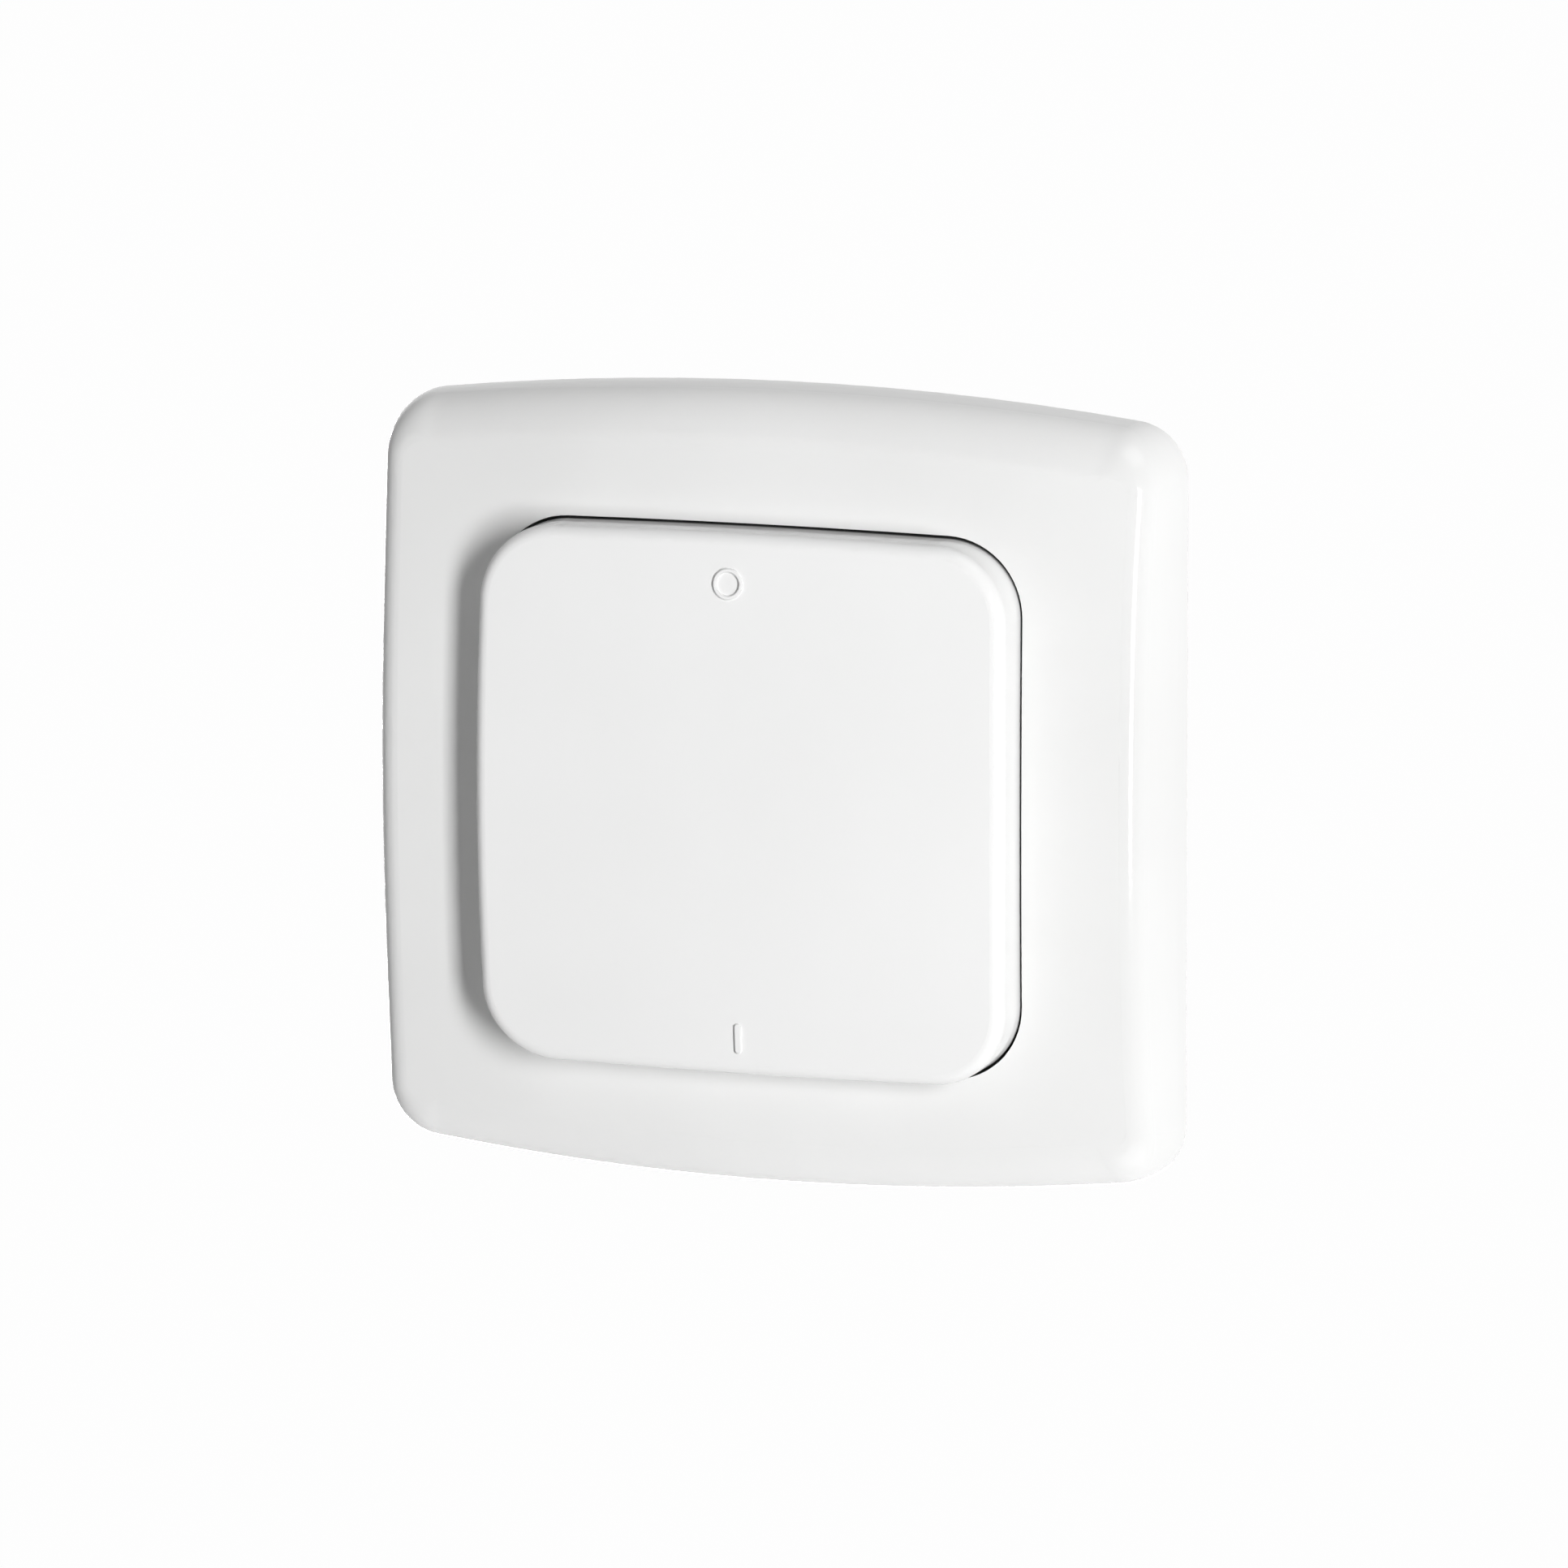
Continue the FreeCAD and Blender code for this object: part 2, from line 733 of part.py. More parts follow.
def cell_contact():
    # The sprung leaf under the cell, bowed up to its cap
    half = contact_length / 2
    low = board_face + holder_floor
    crest = cell_seat - contact_gap
    left = -contact_width / 2
    ends = [Vec(-half, left, low), Vec(half, left, low)]
    upper = [Vec(end.x, left, low + contact_thickness) for end in ends]
    edges = [
        Part.Arc(ends[0], Vec(0, left, crest - contact_thickness), ends[1]).toShape(),
        Part.LineSegment(ends[1], upper[1]).toShape(),
        Part.Arc(upper[1], Vec(0, left, crest), upper[0]).toShape(),
        Part.LineSegment(upper[0], ends[0]).toShape(),
    ]
    return Part.Face(Part.Wire(edges)).extrude(Vec(0, contact_width, 0))


def strip(points, thickness, along):
    # Sheet metal folded along the given line, with the given run across
    directions = []
    for (x0, z0), (x1, z1) in zip(points, points[1:]):
        length = math.hypot(x1 - x0, z1 - z0)
        directions.append(((x1 - x0) / length, (z1 - z0) / length))
    before = directions[:1] + directions
    after = directions + directions[-1:]
    sides = ([], [])
    for (x, z), (ax, az), (bx, bz) in zip(points, before, after):
        # The mitre at a fold lies along the mean of the two runs' normals
        reach = thickness / 2 / (1 + ax * bx + az * bz)
        for side, sign in zip(sides, (1, -1)):
            side.append(Vec(x - sign * reach * (az + bz), -along / 2, z + sign * reach * (ax + bx)))
    outline = sides[0] + sides[1][::-1]
    return Part.Face(Part.makePolygon(outline + outline[:1])).extrude(Vec(0, along, 0))


def cell_clip():
    # The side contact: a foot on the board and a leaf that bends in to the cell's can
    half = clip_thickness / 2
    stand = holder_outer_radius + clip_slot_gap
    touch = cell_diameter / 2 + contact_gap + half
    foot = board_face + half
    points = [
        (stand + clip_foot_length, foot),
        (stand, foot),
        (stand, cell_seat + clip_knee / 2),
        (touch, cell_top - clip_knee),
        (touch + clip_knee / 2, cell_top),
    ]
    return strip(points, clip_thickness, clip_width)


def indicator_lamp():
    shoulder = board_face + lamp_height - lamp_radius
    stem = disc(lamp_across, lamp_up, lamp_radius, board_face, shoulder)
    dome = Part.makeSphere(lamp_radius, Vec(lamp_across, lamp_up, shoulder))
    flange = disc(lamp_across, lamp_up, lamp_flange_radius, board_face, board_face + lamp_flange_height)
    return stem.fuse([dome, flange]).removeSplitter()


def antenna_wire():
    # A loop of stiff wire that stands on the board
    top = board_face + antenna_height
    bend = antenna_bend_radius
    reach = antenna_half_length
    corner = bend * (1 - math.sqrt(0.5))
    x = antenna_across
    feet = [Vec(x, -reach, board_face), Vec(x, reach, board_face)]
    rises = [Vec(x, -reach, top - bend), Vec(x, reach, top - bend)]
    runs = [Vec(x, -reach + bend, top), Vec(x, reach - bend, top)]
    turns = [Vec(x, -reach + corner, top - corner), Vec(x, reach - corner, top - corner)]
    path = Part.Wire([
        Part.LineSegment(feet[0], rises[0]).toShape(),
        Part.Arc(rises[0], turns[0], runs[0]).toShape(),
        Part.LineSegment(runs[0], runs[1]).toShape(),
        Part.Arc(runs[1], turns[1], rises[1]).toShape(),
        Part.LineSegment(rises[1], feet[1]).toShape(),
    ])
    section = Part.Face(Part.Wire(Part.makeCircle(antenna_wire_radius, feet[0], Vec(0, 0, 1))))
    return path.makePipe(section)


def chip(across, up, length, pins, upright):
    # A small-outline chip: a bevelled body and two rows of bent pins
    half = length / 2
    side = chip_body_width / 2
    low = board_face + chip_standoff
    body = box(-half, half, -side, side, low, board_face + chip_height)
    body = body.makeChamfer(chip_edge, [edge for edge in body.Edges if edge.BoundBox.ZMin > low + chip_edge])
    shoulder = (low + board_face + chip_height) / 2
    foot = board_face + chip_pin_thickness / 2
    bend = side + chip_pin_reach / 3
    points = [(side - chip_edge, shoulder), (bend, shoulder), (bend, foot), (side + chip_pin_reach, foot)]
    legs = []
    for index in range(pins):
        place = (index - (pins - 1) / 2) * chip_pin_pitch
        for turn in (90, -90):
            leg = strip(points, chip_pin_thickness, chip_pin_width)
            leg.rotate(Vec(0, 0, 0), Vec(0, 0, 1), turn)
            leg.translate(Vec(place, 0, 0))
            legs.append(leg)
    whole = body.fuse(legs).removeSplitter()
    if upright:
        whole.rotate(Vec(0, 0, 0), Vec(0, 0, 1), 90)
    whole.translate(Vec(across, up, 0))
    return whole


def resonator_can():
    top = board_face + can_height
    lower = can_flange_height + board_face
    wide = can_radius + can_flange
    points = [
        (0, board_face),
        (wide, board_face),
        (wide, lower),
        (can_radius, lower),
        (can_radius, top - can_edge_radius),
        (can_radius - can_edge_radius, top),
        (0, top),
    ]
    return turned(points, can_across, can_up)


def chip_group(size, start, pitch, count):
    blocks = []
    for column in range(count[0]):
        for row in range(count[1]):
            x = start[0] + column * pitch[0]
            y = start[1] + row * pitch[1]
            half_x, half_y = size[0] / 2, size[1] / 2
            blocks.append(box(x - half_x, x + half_x, y - half_y, y + half_y, board_face, board_face + size[2]))
    return Part.makeCompound(blocks)


def stand_up(shape):
    upright = shape.copy()
    upright.rotate(Vec(0, 0, 0), Vec(1, 0, 0), 90)
    return upright


def all_pieces():
    pads = pad_blocks(0)
    return {
        "wall_plate": wall_plate(),
        "adhesive_pad_lower": pads[0],
        "adhesive_pad_upper": pads[1],
        "cover_frame": cover_frame(),
        "rocker_key": rocker_key(),
        "module_tray": module_tray(),
        "module_cover": module_cover(),
        "module_screws": module_screws(),
        "circuit_board": circuit_board(),
        "upper_switch_body": switch_body(switch_offset),
        "upper_switch_plate": switch_plate(switch_offset),
        "upper_button": switch_button(switch_offset),
        "lower_switch_body": switch_body(-switch_offset),
        "lower_switch_plate": switch_plate(-switch_offset),
        "lower_button": switch_button(-switch_offset),
        "switch_terminals": switch_terminals(),
        "coin_cell": coin_cell(),
        "cell_holder": cell_holder(),
        "cell_clip": cell_clip(),
        "cell_contact": cell_contact(),
        "indicator_lamp": indicator_lamp(),
        "antenna_wire": antenna_wire(),
        "radio_chip": chip(radio_across, radio_up, radio_length, radio_pins, True),
        "encoder_chip": chip(encoder_across, encoder_up, encoder_length, encoder_pins, False),
        "resonator_can": resonator_can(),
        "chip_resistors": chip_group(resistor_size, resistor_start, resistor_pitch, resistor_count),
        "chip_capacitors": chip_group(capacitor_size, capacitor_start, capacitor_pitch, capacitor_count),
    }


os.makedirs("parts", exist_ok=True)
for name, shape in all_pieces().items():
    stand_up(shape).exportStep("parts/" + name + ".step")
    print(name, len(shape.Solids), "solid(s)", round(shape.Volume, 1), "mm3", "valid", shape.isValid())
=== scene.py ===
import json
import math

import bpy
from mathutils import Euler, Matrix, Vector


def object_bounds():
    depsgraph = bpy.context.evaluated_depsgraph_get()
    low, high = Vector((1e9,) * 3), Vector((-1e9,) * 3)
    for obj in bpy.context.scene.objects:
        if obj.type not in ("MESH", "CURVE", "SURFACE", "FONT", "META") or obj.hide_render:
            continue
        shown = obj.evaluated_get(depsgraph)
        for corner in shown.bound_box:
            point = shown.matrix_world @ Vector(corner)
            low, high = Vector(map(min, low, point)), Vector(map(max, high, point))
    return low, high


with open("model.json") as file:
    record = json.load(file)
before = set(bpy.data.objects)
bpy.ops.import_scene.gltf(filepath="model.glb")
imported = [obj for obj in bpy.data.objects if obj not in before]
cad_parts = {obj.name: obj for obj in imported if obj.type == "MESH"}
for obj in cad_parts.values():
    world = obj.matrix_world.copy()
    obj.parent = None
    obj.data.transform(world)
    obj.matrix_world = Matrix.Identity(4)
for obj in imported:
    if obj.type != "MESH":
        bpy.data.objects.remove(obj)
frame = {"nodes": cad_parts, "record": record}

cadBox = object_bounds()
cadNodes = frame["nodes"]
scene = bpy.context.scene
print("frame loaded:", len(cadNodes), "pieces")


# helpers for node trees: a noise is given as its scale and its detail, a span as its two ends

noiseSpan = (0.3, 0.7)  # nearly all values of a noise lie in here
unitSpan = (0.0, 1.0)
black = (0.0, 0.0, 0.0)
white = (1.0, 1.0, 1.0)


def feed(tree, socket, value):
    # a socket takes a link, a colour of three numbers or a plain value
    if isinstance(value, bpy.types.NodeSocket):
        tree.links.new(value, socket)
    elif socket.type == "RGBA":
        socket.default_value = (*value, 1.0)
    else:
        socket.default_value = value


def plug(tree, node, inputs):
    for name, value in inputs.items():
        feed(tree, node.inputs[name], value)


def addNode(tree, kind, inputs):
    node = tree.nodes.new(kind)
    plug(tree, node, inputs)
    return node


def startMaterial(name):
    material = bpy.data.materials.new(name)
    material.use_nodes = True
    tree = material.node_tree
    return material, tree, tree.nodes["Principled BSDF"]


def coordinates(tree, kind):
    return tree.nodes.new("ShaderNodeTexCoord").outputs[kind]


def splitCoordinates(tree, kind):
    return addNode(tree, "ShaderNodeSeparateXYZ", {"Vector": coordinates(tree, kind)}).outputs


def noiseField(tree, scale, detail, place=None):
    if place is None:
        place = coordinates(tree, "Object")
    noise = addNode(tree, "ShaderNodeTexNoise", {"Vector": place, "Scale": scale, "Detail": detail})
    return noise.outputs["Fac"]


def rangeOf(tree, source, toSpan, fromSpan=noiseSpan):
    remap = addNode(tree, "ShaderNodeMapRange", {
        "Value": source,
        "From Min": fromSpan[0],
        "From Max": fromSpan[1],
        "To Min": toSpan[0],
        "To Max": toSpan[1],
    })
    return remap.outputs["Result"]


def noiseRange(tree, noise, toSpan, fromSpan=noiseSpan):
    return rangeOf(tree, noiseField(tree, *noise), toSpan, fromSpan)


def mathOf(tree, operation, first, second=0.0):
    node = tree.nodes.new("ShaderNodeMath")
    node.operation = operation
    plug(tree, node, {0: first, 1: second})
    return node.outputs[0]


def blendColor(tree, share, first, second):
    mix = tree.nodes.new("ShaderNodeMix")
    mix.data_type = "RGBA"
    plug(tree, mix, {"Factor": share})
    colorSockets = [socket for socket in mix.inputs if socket.type == "RGBA"]
    for socket, color in zip(colorSockets, (first, second)):
        feed(tree, socket, color)
    return next(socket for socket in mix.outputs if socket.type == "RGBA")


def addBump(tree, target, height, strength, distance):
    # target is the shader, or a bump that lies over this one
    bump = addNode(tree, "ShaderNodeBump", {"Height": height, "Strength": strength, "Distance": distance})
    plug(tree, target, {"Normal": bump.outputs["Normal"]})
    return bump


# the slot round the key: painted shade, its walls are toned dark below the frame's front where shadow
# fills the gap

slotPaintedShade = {
    # painted shade: a dark grey laid on white walls that are dark only from shadow
    "tone": (0.10, 0.10, 0.10),
    "reach": 0.030,  # walls of the frame nearer to the middle than this line the slot
    "facing": 0.35,  # a wall that turns more than this to the front stays white
    "depth": (-0.0104, -0.0097),  # the key is white in front of the first and dark behind the second
}


# painted shade: the frame's walls inside the slot are coloured dark where shadow falls
def openingWallsPaintedShade(tree):
    place = splitCoordinates(tree, "Object")
    across = mathOf(tree, "ABSOLUTE", place["X"])
    up = mathOf(tree, "ABSOLUTE", place["Z"])
    near = mathOf(tree, "LESS_THAN", mathOf(tree, "MAXIMUM", across, up), slotPaintedShade["reach"])
    facing = mathOf(tree, "ABSOLUTE", splitCoordinates(tree, "Normal")["Y"])
    sideways = mathOf(tree, "LESS_THAN", facing, slotPaintedShade["facing"])
    return mathOf(tree, "MULTIPLY", near, sideways)


# painted shade: the key's sides darken with depth behind the frame's rim, where shadow falls in the gap
def keyBehindRimPaintedShade(tree):
    return rangeOf(tree, splitCoordinates(tree, "Object")["Y"], unitSpan, slotPaintedShade["depth"])


# the raised ring and bar on the key: rounded shoulders, inside the outlines that the solid has

markLook = {
    "ringAt": (-0.00105, 0.02215), "ringRadius": 0.00135, "ringHalfWidth": 0.000225,
    "barAt": (-0.00015, -0.0233), "barHalfLength": 0.001175, "barHalfWidth": 0.000375,
    "shoulder": 0.00013, "strength": 1.0, "height": 0.00012,
}


def fromPoint(tree, point):
    place = splitCoordinates(tree, "Object")
    return mathOf(tree, "SUBTRACT", place["X"], point[0]), mathOf(tree, "SUBTRACT", place["Z"], point[1])


def lengthOf(tree, across, up):
    squares = [mathOf(tree, "MULTIPLY", side, side) for side in (across, up)]
    return mathOf(tree, "SQRT", mathOf(tree, "ADD", *squares))


def shoulderOf(tree, away, halfWidth):
    # full height along the middle of the line, falling to nothing at its edge
    return rangeOf(tree, away, (1.0, 0.0), (halfWidth - markLook["shoulder"], halfWidth))


def raisedMarks(tree):
    fromRing = lengthOf(tree, *fromPoint(tree, markLook["ringAt"]))
    ringAway = mathOf(tree, "ABSOLUTE", mathOf(tree, "SUBTRACT", fromRing, markLook["ringRadius"]))
    across, up = fromPoint(tree, markLook["barAt"])
    beyond = mathOf(tree, "SUBTRACT", mathOf(tree, "ABSOLUTE", up), markLook["barHalfLength"])
    barAway = lengthOf(tree, across, mathOf(tree, "MAXIMUM", beyond, 0.0))
    ringTop = shoulderOf(tree, ringAway, markLook["ringHalfWidth"])
    barTop = shoulderOf(tree, barAway, markLook["barHalfWidth"])
    return mathOf(tree, "MAXIMUM", ringTop, barTop)


# moulded plastics: a slow drift of tone, a fine skin and a slightly uneven gloss
# drift and skin are noise scales, scatter is the diffuse roughness and shine the specular level

frameLook = {
    "tone": (0.830, 0.831, 0.828), "shade": (0.800, 0.801, 0.797), "drift": 35.0,
    "rough": (0.11, 0.16), "skin": 900.0, "skinHeight": 0.000004, "scatter": 0.8, "shine": 0.5,
}
keyLook = {
    "tone": (0.895, 0.896, 0.894), "shade": (0.869, 0.870, 0.867), "drift": 30.0,
    "rough": (0.10, 0.15), "skin": 900.0, "skinHeight": 0.000004, "scatter": 0.3, "shine": 0.35,
}
plateLook = {
    "tone": (0.70, 0.70, 0.69), "shade": (0.66, 0.66, 0.65), "drift": 45.0,
    "rough": (0.48, 0.60), "skin": 1600.0, "skinHeight": 0.000012, "scatter": 0.3, "shine": 0.5,
}
caseLook = {
    "tone": (0.74, 0.74, 0.72), "shade": (0.70, 0.70, 0.68), "drift": 50.0,
    "rough": (0.46, 0.58), "skin": 1500.0, "skinHeight": 0.000012, "scatter": 0.3, "shine": 0.5,
}
switchLook = {
    "tone": (0.030, 0.030, 0.031), "shade": (0.021, 0.021, 0.022), "drift": 400.0,
    "rough": (0.42, 0.55), "skin": 5000.0, "skinHeight": 0.000006, "scatter": 0.3, "shine": 0.5,
}
buttonLook = {
    "tone": (0.080, 0.080, 0.085), "shade": (0.062, 0.062, 0.066), "drift": 350.0,
    "rough": (0.34, 0.46), "skin": 5000.0, "skinHeight": 0.000005, "scatter": 0.3, "shine": 0.5,
}
holderLook = {
    "tone": (0.036, 0.036, 0.037), "shade": (0.026, 0.026, 0.027), "drift": 180.0,
    "rough": (0.45, 0.58), "skin": 2500.0, "skinHeight": 0.000008, "scatter": 0.3, "shine": 0.5,
}
chipLook = {
    "tone": (0.026, 0.026, 0.027), "shade": (0.018, 0.018, 0.019), "drift": 600.0,
    "rough": (0.55, 0.68), "skin": 6000.0, "skinHeight": 0.000008, "scatter": 0.3, "shine": 0.5,
}
anyPlastic = {
    "driftDetail": 3.0, "patchesPerDrift": 4.0, "patchDetail": 4.0,
    "skinDetail": 3.0, "skinStrength": 0.35, "refraction": 1.49,
}


def mouldedPlastic(name, look, paintedShadeWhere=None, raisedWhere=None):
    material, tree, shader = startMaterial(name)
    drift = noiseRange(tree, (look["drift"], anyPlastic["driftDetail"]), unitSpan)
    color = blendColor(tree, drift, look["tone"], look["shade"])
    # painted shade: the slot's dark tone laid over the plastic's colour where shadow falls
    if paintedShadeWhere:
        color = blendColor(tree, paintedShadeWhere(tree), color, slotPaintedShade["tone"])
    patches = (look["drift"] * anyPlastic["patchesPerDrift"], anyPlastic["patchDetail"])
    skin = noiseField(tree, look["skin"], anyPlastic["skinDetail"])
    skinBump = addBump(tree, shader, skin, anyPlastic["skinStrength"], look["skinHeight"])
    if raisedWhere:
        addBump(tree, skinBump, raisedWhere(tree), markLook["strength"], markLook["height"])
    plug(tree, shader, {
        "Base Color": color,
        "Roughness": noiseRange(tree, patches, look["rough"]),
        "IOR": anyPlastic["refraction"],
        "Diffuse Roughness": look["scatter"],
        "Specular IOR Level": look["shine"],
    })
    return material


# metals: a fine grain, longer along the way that a sheet was rolled, and small stains
# grain is the scale of that noise along each axis

screwLook = {
    "tone": (0.56, 0.56, 0.57), "stain": (0.42, 0.42, 0.42),
    "rough": (0.26, 0.42), "grain": (900, 900, 200),
}
sheetLook = {
    "tone": (0.60, 0.60, 0.59), "stain": (0.48, 0.48, 0.47),
    "rough": (0.24, 0.40), "grain": (2500, 200, 200),
}
tinLook = {
    "tone": (0.63, 0.63, 0.62), "stain": (0.50, 0.50, 0.49),
    "rough": (0.30, 0.48), "grain": (900, 900, 900),
}
cellLook = {
    "tone": (0.62, 0.62, 0.61), "stain": (0.52, 0.52, 0.50),
    "rough": (0.20, 0.34), "grain": (1600, 120, 120),
}
leafLook = {
    "tone": (0.58, 0.56, 0.52), "stain": (0.46, 0.44, 0.40),
    "rough": (0.24, 0.38), "grain": (2200, 180, 180),
}
canLook = {
    "tone": (0.62, 0.62, 0.60), "stain": (0.50, 0.50, 0.48),
    "rough": (0.18, 0.32), "grain": (300, 300, 1800),
}
wireLook = {
    "tone": (0.66, 0.34, 0.19), "stain": (0.44, 0.21, 0.12),
    "rough": (0.25, 0.42), "grain": (800, 800, 800),
}
anyMetal = {
    "grainNoise": (1.0, 4.0), "grainStrength": 0.25, "grainHeight": 0.000006,
    "stainNoise": (260.0, 5.0), "stainSpan": (0.42, 0.75),
}


def rolledMetal(name, look):
    material, tree, shader = startMaterial(name)
    drawn = addNode(tree, "ShaderNodeMapping", {
        "Vector": coordinates(tree, "Object"), "Scale": look["grain"],
    })
    grain = noiseField(tree, *anyMetal["grainNoise"], drawn.outputs["Vector"])
    stains = noiseRange(tree, anyMetal["stainNoise"], unitSpan, anyMetal["stainSpan"])
    addBump(tree, shader, grain, anyMetal["grainStrength"], anyMetal["grainHeight"])
    plug(tree, shader, {
        "Base Color": blendColor(tree, stains, look["tone"], look["stain"]),
        "Roughness": rangeOf(tree, grain, look["rough"]),
        "Metallic": 1.0,
    })
    return material


# the board: green mask over tracks, a little raised where copper lies under it

boardLook = {
    "mask": (0.018, 0.115, 0.050), "track": (0.035, 0.205, 0.080),
    "trackScale": 210.0, "trackWidth": 0.09, "trackStrength": 0.5, "trackHeight": 0.00003,
    "turn": 90,  # degrees, from level to the board's upright face
    "patchNoise": (120.0, 1.0), "patchSpan": (0.50, 0.54),  # tracks show in patches
    "rough": (0.28, 0.42), "roughNoise": (500.0, 3.0),
}


def boardMask(name, look):
    material, tree, shader = startMaterial(name)
    upright = addNode(tree, "ShaderNodeMapping", {
        "Vector": coordinates(tree, "Object"), "Rotation": (math.radians(look["turn"]), 0, 0),
    })
    tracks = addNode(tree, "ShaderNodeTexBrick", {
        "Vector": upright.outputs["Vector"],
        "Scale": look["trackScale"],
        "Mortar Size": look["trackWidth"],
        "Color1": black,
        "Color2": black,
        "Mortar": white,
    })
    patches = noiseRange(tree, look["patchNoise"], unitSpan, look["patchSpan"])
    shown = mathOf(tree, "MULTIPLY", tracks.outputs["Color"], patches)
    addBump(tree, shader, shown, look["trackStrength"], look["trackHeight"])
    plug(tree, shader, {
        "Base Color": blendColor(tree, shown, look["mask"], look["track"]),
        "Roughness": noiseRange(tree, look["roughNoise"], look["rough"]),
    })
    return material


# foam pads: open cells, pale and dull

padLook = {
    "tone": (0.64, 0.64, 0.60), "shade": (0.50, 0.50, 0.46),
    "cells": 1300.0, "cellSpan": (0.0, 0.8), "cellStrength": 0.5, "cellHeight": 0.00012,
    "rough": (0.78, 0.95), "roughNoise": (700.0, 3.0),
}


def openFoam(name, look):
    material, tree, shader = startMaterial(name)
    cells = addNode(tree, "ShaderNodeTexVoronoi", {
        "Vector": coordinates(tree, "Object"), "Scale": look["cells"],
    })
    walls = rangeOf(tree, cells.outputs["Distance"], unitSpan, look["cellSpan"])
    addBump(tree, shader, walls, look["cellStrength"], look["cellHeight"])
    plug(tree, shader, {
        "Base Color": blendColor(tree, walls, look["shade"], look["tone"]),
        "Roughness": noiseRange(tree, look["roughNoise"], look["rough"]),
    })
    return material


# the lamp's tinted lens: clear in part, with a little haze and ripple

lensLook = {
    "tone": (0.55, 0.020, 0.016), "shade": (0.40, 0.012, 0.010), "hazeNoise": (900.0, 3.0),
    "rough": (0.08, 0.16), "roughNoise": (1500.0, 2.0), "clear": 0.35,
    "rippleNoise": (2200.0, 2.0), "rippleStrength": 0.15, "rippleHeight": 0.000004,
}


def tintedLens(name, look):
    material, tree, shader = startMaterial(name)
    haze = noiseRange(tree, look["hazeNoise"], unitSpan)
    ripple = noiseField(tree, *look["rippleNoise"])
    addBump(tree, shader, ripple, look["rippleStrength"], look["rippleHeight"])
    plug(tree, shader, {
        "Base Color": blendColor(tree, haze, look["tone"], look["shade"]),
        "Roughness": noiseRange(tree, look["roughNoise"], look["rough"]),
        "Transmission Weight": look["clear"],
    })
    return material


# fired bodies of the small chips: specks of a second tone and a fine grain

resistorLook = {"tone": (0.030, 0.031, 0.035), "speck": (0.46, 0.45, 0.43), "rough": (0.25, 0.45)}
capacitorLook = {"tone": (0.36, 0.24, 0.14), "speck": (0.27, 0.17, 0.10), "rough": (0.45, 0.62)}
anyFired = {
    "speckNoise": (2500.0, 4.0), "speckShare": (0.0, 0.25), "speckSpan": (0.5, 0.8),
    "grainNoise": (4000.0, 3.0), "grainStrength": 0.3, "grainHeight": 0.000008,
    "roughNoise": (1800.0, 3.0),
}


def firedBody(name, look):
    material, tree, shader = startMaterial(name)
    specks = noiseRange(tree, anyFired["speckNoise"], anyFired["speckShare"], anyFired["speckSpan"])
    grain = noiseField(tree, *anyFired["grainNoise"])
    addBump(tree, shader, grain, anyFired["grainStrength"], anyFired["grainHeight"])
    plug(tree, shader, {
        "Base Color": blendColor(tree, specks, look["tone"], look["speck"]),
        "Roughness": noiseRange(tree, anyFired["roughNoise"], look["rough"]),
    })
    return material


# one finish for each material slot of the record

finishes = {
    "frame_white": mouldedPlastic("frameWhite", frameLook, paintedShadeWhere=openingWallsPaintedShade),
    "key_white": mouldedPlastic("keyWhite", keyLook, paintedShadeWhere=keyBehindRimPaintedShade, raisedWhere=raisedMarks),
    "plate_white": mouldedPlastic("plateWhite", plateLook),
    "pad_foam": openFoam("padFoam", padLook),
    "case_white": mouldedPlastic("caseWhite", caseLook),
    "screw_steel": rolledMetal("screwSteel", screwLook),
    "board_green": boardMask("boardGreen", boardLook),
    "switch_black": mouldedPlastic("switchBlack", switchLook),
    "switch_steel": rolledMetal("switchSteel", sheetLook),
    "button_grey": mouldedPlastic("buttonGrey", buttonLook),
    "terminal_tin": rolledMetal("terminalTin", tinLook),
    "cell_steel": rolledMetal("cellSteel", cellLook),
    "holder_black": mouldedPlastic("holderBlack", holderLook),
    "contact_steel": rolledMetal("contactSteel", leafLook),
    "lamp_red": tintedLens("lampRed", lensLook),
    "antenna_copper": rolledMetal("antennaCopper", wireLook),
    "chip_black": mouldedPlastic("chipBlack", chipLook),
    "can_steel": rolledMetal("canSteel", canLook),
    "resistor_dark": firedBody("resistorDark", resistorLook),
    "capacitor_tan": firedBody("capacitorTan", capacitorLook),
}
for entry in frame["record"]["subparts"]:
    worn = cadNodes[entry["node"]].data.materials
    worn.clear()
    worn.append(finishes[entry["material_slot"]])
print("finishes set:", len(finishes))


# the world and the floor: plain white to the eye, with little light of their own

worldLook = {"ambient": white, "level": 0.01}
floorLook = {
    "size": 60.0, "drop": 0.75, "tone": (0.90, 0.90, 0.90), "rough": 0.9,
    "cloudNoise": (3.0, 2.0), "cloudShare": 0.99,
    "whiteShare": 0.985,  # the rest is the lit floor with its shadow
}
plainWhite = {"Color": white, "Strength": 1.0}


def seenRays(tree):
    # camera, glossy and transmission rays see plain white
    rays = tree.nodes.new("ShaderNodeLightPath").outputs
    seen = mathOf(tree, "MAXIMUM", rays["Is Camera Ray"], rays["Is Glossy Ray"])
    return mathOf(tree, "MAXIMUM", seen, rays["Is Transmission Ray"])


def showMix(tree, share, lit, seen, output):
    mix = addNode(tree, "ShaderNodeMixShader", {0: share, 1: lit.outputs[0], 2: seen.outputs[0]})
    plug(tree, tree.nodes[output], {"Surface": mix.outputs[0]})


def paleWorld(look):
    world = bpy.data.worlds.new("studio")
    world.use_nodes = True
    tree = world.node_tree
    dim = tree.nodes["Background"]
    plug(tree, dim, {"Color": look["ambient"], "Strength": look["level"]})
    bright = addNode(tree, "ShaderNodeBackground", plainWhite)
    showMix(tree, seenRays(tree), dim, bright, "World Output")
    scene.world = world


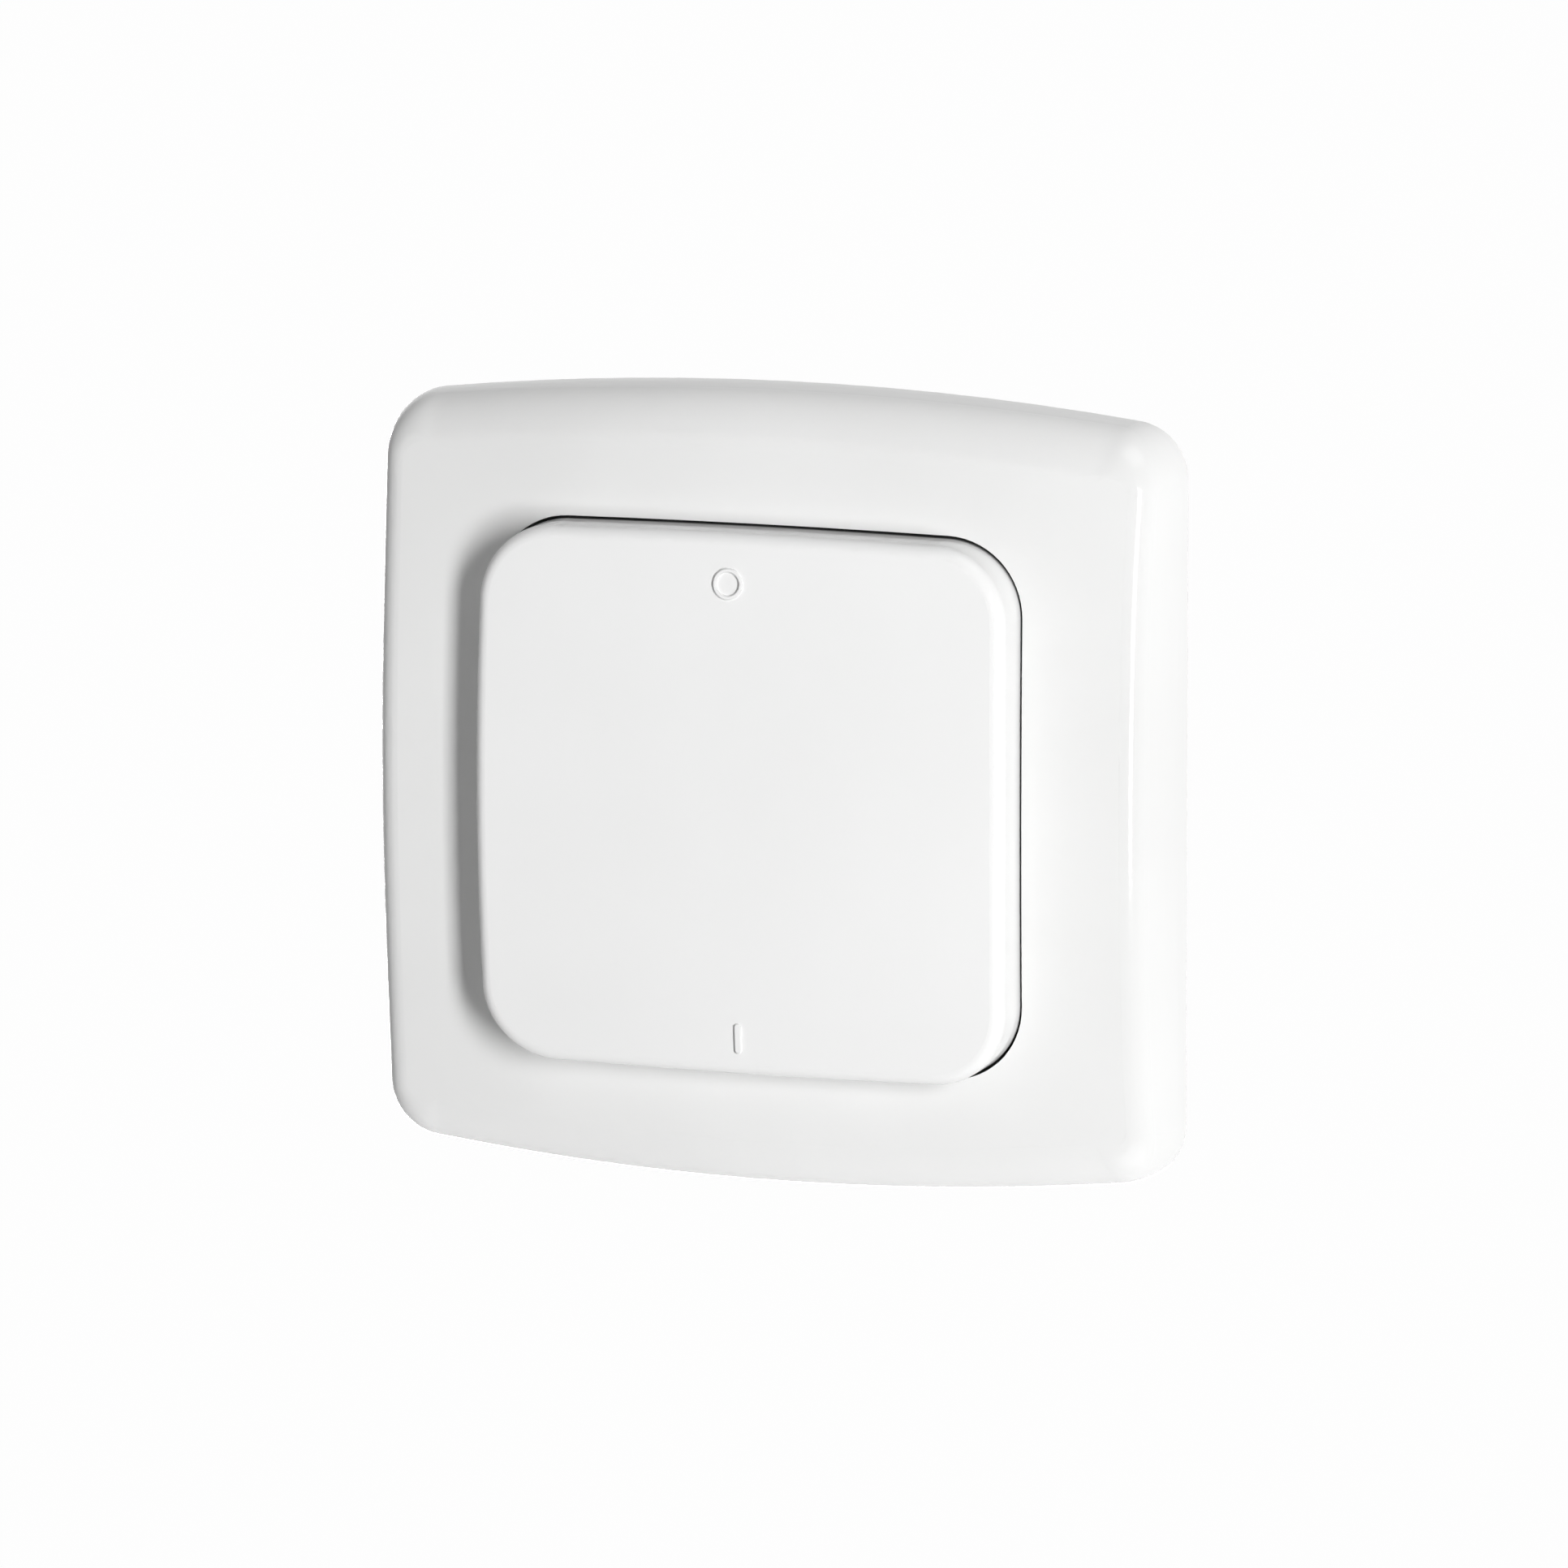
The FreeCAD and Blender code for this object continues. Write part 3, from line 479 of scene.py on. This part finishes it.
def paleFloor(look):
    half = look["size"] / 2
    level = cadBox[0][2] - look["drop"]
    corners = [(-half, -half, level), (half, -half, level), (half, half, level), (-half, half, level)]
    mesh = bpy.data.meshes.new("floor")
    mesh.from_pydata(corners, [], [(0, 1, 2, 3)])
    material, tree, shader = startMaterial("floorPale")
    cloud = tuple(part * look["cloudShare"] for part in look["tone"])
    plug(tree, shader, {
        "Base Color": blendColor(tree, noiseField(tree, *look["cloudNoise"]), look["tone"], cloud),
        "Roughness": look["rough"],
    })
    bright = addNode(tree, "ShaderNodeEmission", plainWhite)
    share = mathOf(tree, "MULTIPLY", seenRays(tree), look["whiteShare"])
    showMix(tree, share, shader, bright, "Material Output")
    mesh.materials.append(material)
    floor = bpy.data.objects.new("floor", mesh)
    scene.collection.objects.link(floor)


paleWorld(worldLook)
paleFloor(floorLook)
print("world and floor set")


# lamps: where each stands, how big it is and how strong, all aimed at the middle of the back

lampSetup = {
    "mainSoftbox": {"azimuth": 41, "elevation": 4, "away": 0.70, "size": (0.13, 0.40), "watts": 4.6},
    "leftFill": {"azimuth": -30, "elevation": 5, "away": 1.60, "size": (1.40, 1.40), "watts": 2.85},
    "frontFill": {"azimuth": 0, "elevation": 0, "away": 1.60, "size": (1.20, 1.20), "watts": 0.8},
    "topFill": {"azimuth": 65, "elevation": 68, "away": 1.10, "size": (0.70, 0.60), "watts": 2.0},
    "lowFill": {"azimuth": 50, "elevation": -62, "away": 0.70, "size": (0.60, 0.40), "watts": 0.60},
    "backFill": {"azimuth": -160, "elevation": -15, "away": 1.50, "size": (0.60, 0.50), "watts": 14.0},
}


def directionTo(azimuth, elevation):
    # azimuth 0 is straight in front, and it grows to the right
    turn = math.radians(azimuth)
    rise = math.radians(elevation)
    return Vector((math.sin(turn) * math.cos(rise), -math.cos(turn) * math.cos(rise), math.sin(rise)))


def lookInward(outward):
    return (-outward).to_track_quat("-Z", "Y")


def softLamps(setup):
    for name, lamp in setup.items():
        light = bpy.data.lights.new(name, "AREA")
        light.shape = "RECTANGLE"
        light.size, light.size_y = lamp["size"]
        light.energy = lamp["watts"]
        stand = bpy.data.objects.new(name, light)
        outward = directionTo(lamp["azimuth"], lamp["elevation"])
        stand.location = outward * lamp["away"]
        stand.rotation_euler = lookInward(outward).to_euler()
        scene.collection.objects.link(stand)


softLamps(lampSetup)
print("lamps set:", len(lampSetup))


# camera: turned to the photo's side and height, far off with a long lens

cameraSetup = {
    "target": (0.002004, -0.008, 0.001073), "distance": 1.3, "azimuth": 19.58, "elevation": 10.22,
    "roll": -0.11, "lens": 301.9, "sensor": 36.0, "clipEnd": 50.0,
}


def photoCamera(setup):
    lens = bpy.data.cameras.new("photoCamera")
    lens.lens = setup["lens"]
    lens.sensor_width = setup["sensor"]
    lens.clip_end = setup["clipEnd"]
    camera = bpy.data.objects.new("photoCamera", lens)
    outward = directionTo(setup["azimuth"], setup["elevation"])
    camera.location = Vector(setup["target"]) + outward * setup["distance"]
    roll = Euler((0, 0, math.radians(setup["roll"]))).to_quaternion()
    camera.rotation_euler = (lookInward(outward) @ roll).to_euler()
    scene.collection.objects.link(camera)
    scene.camera = camera


photoCamera(cameraSetup)
scene.view_settings.view_transform = "Standard"
print("camera set")
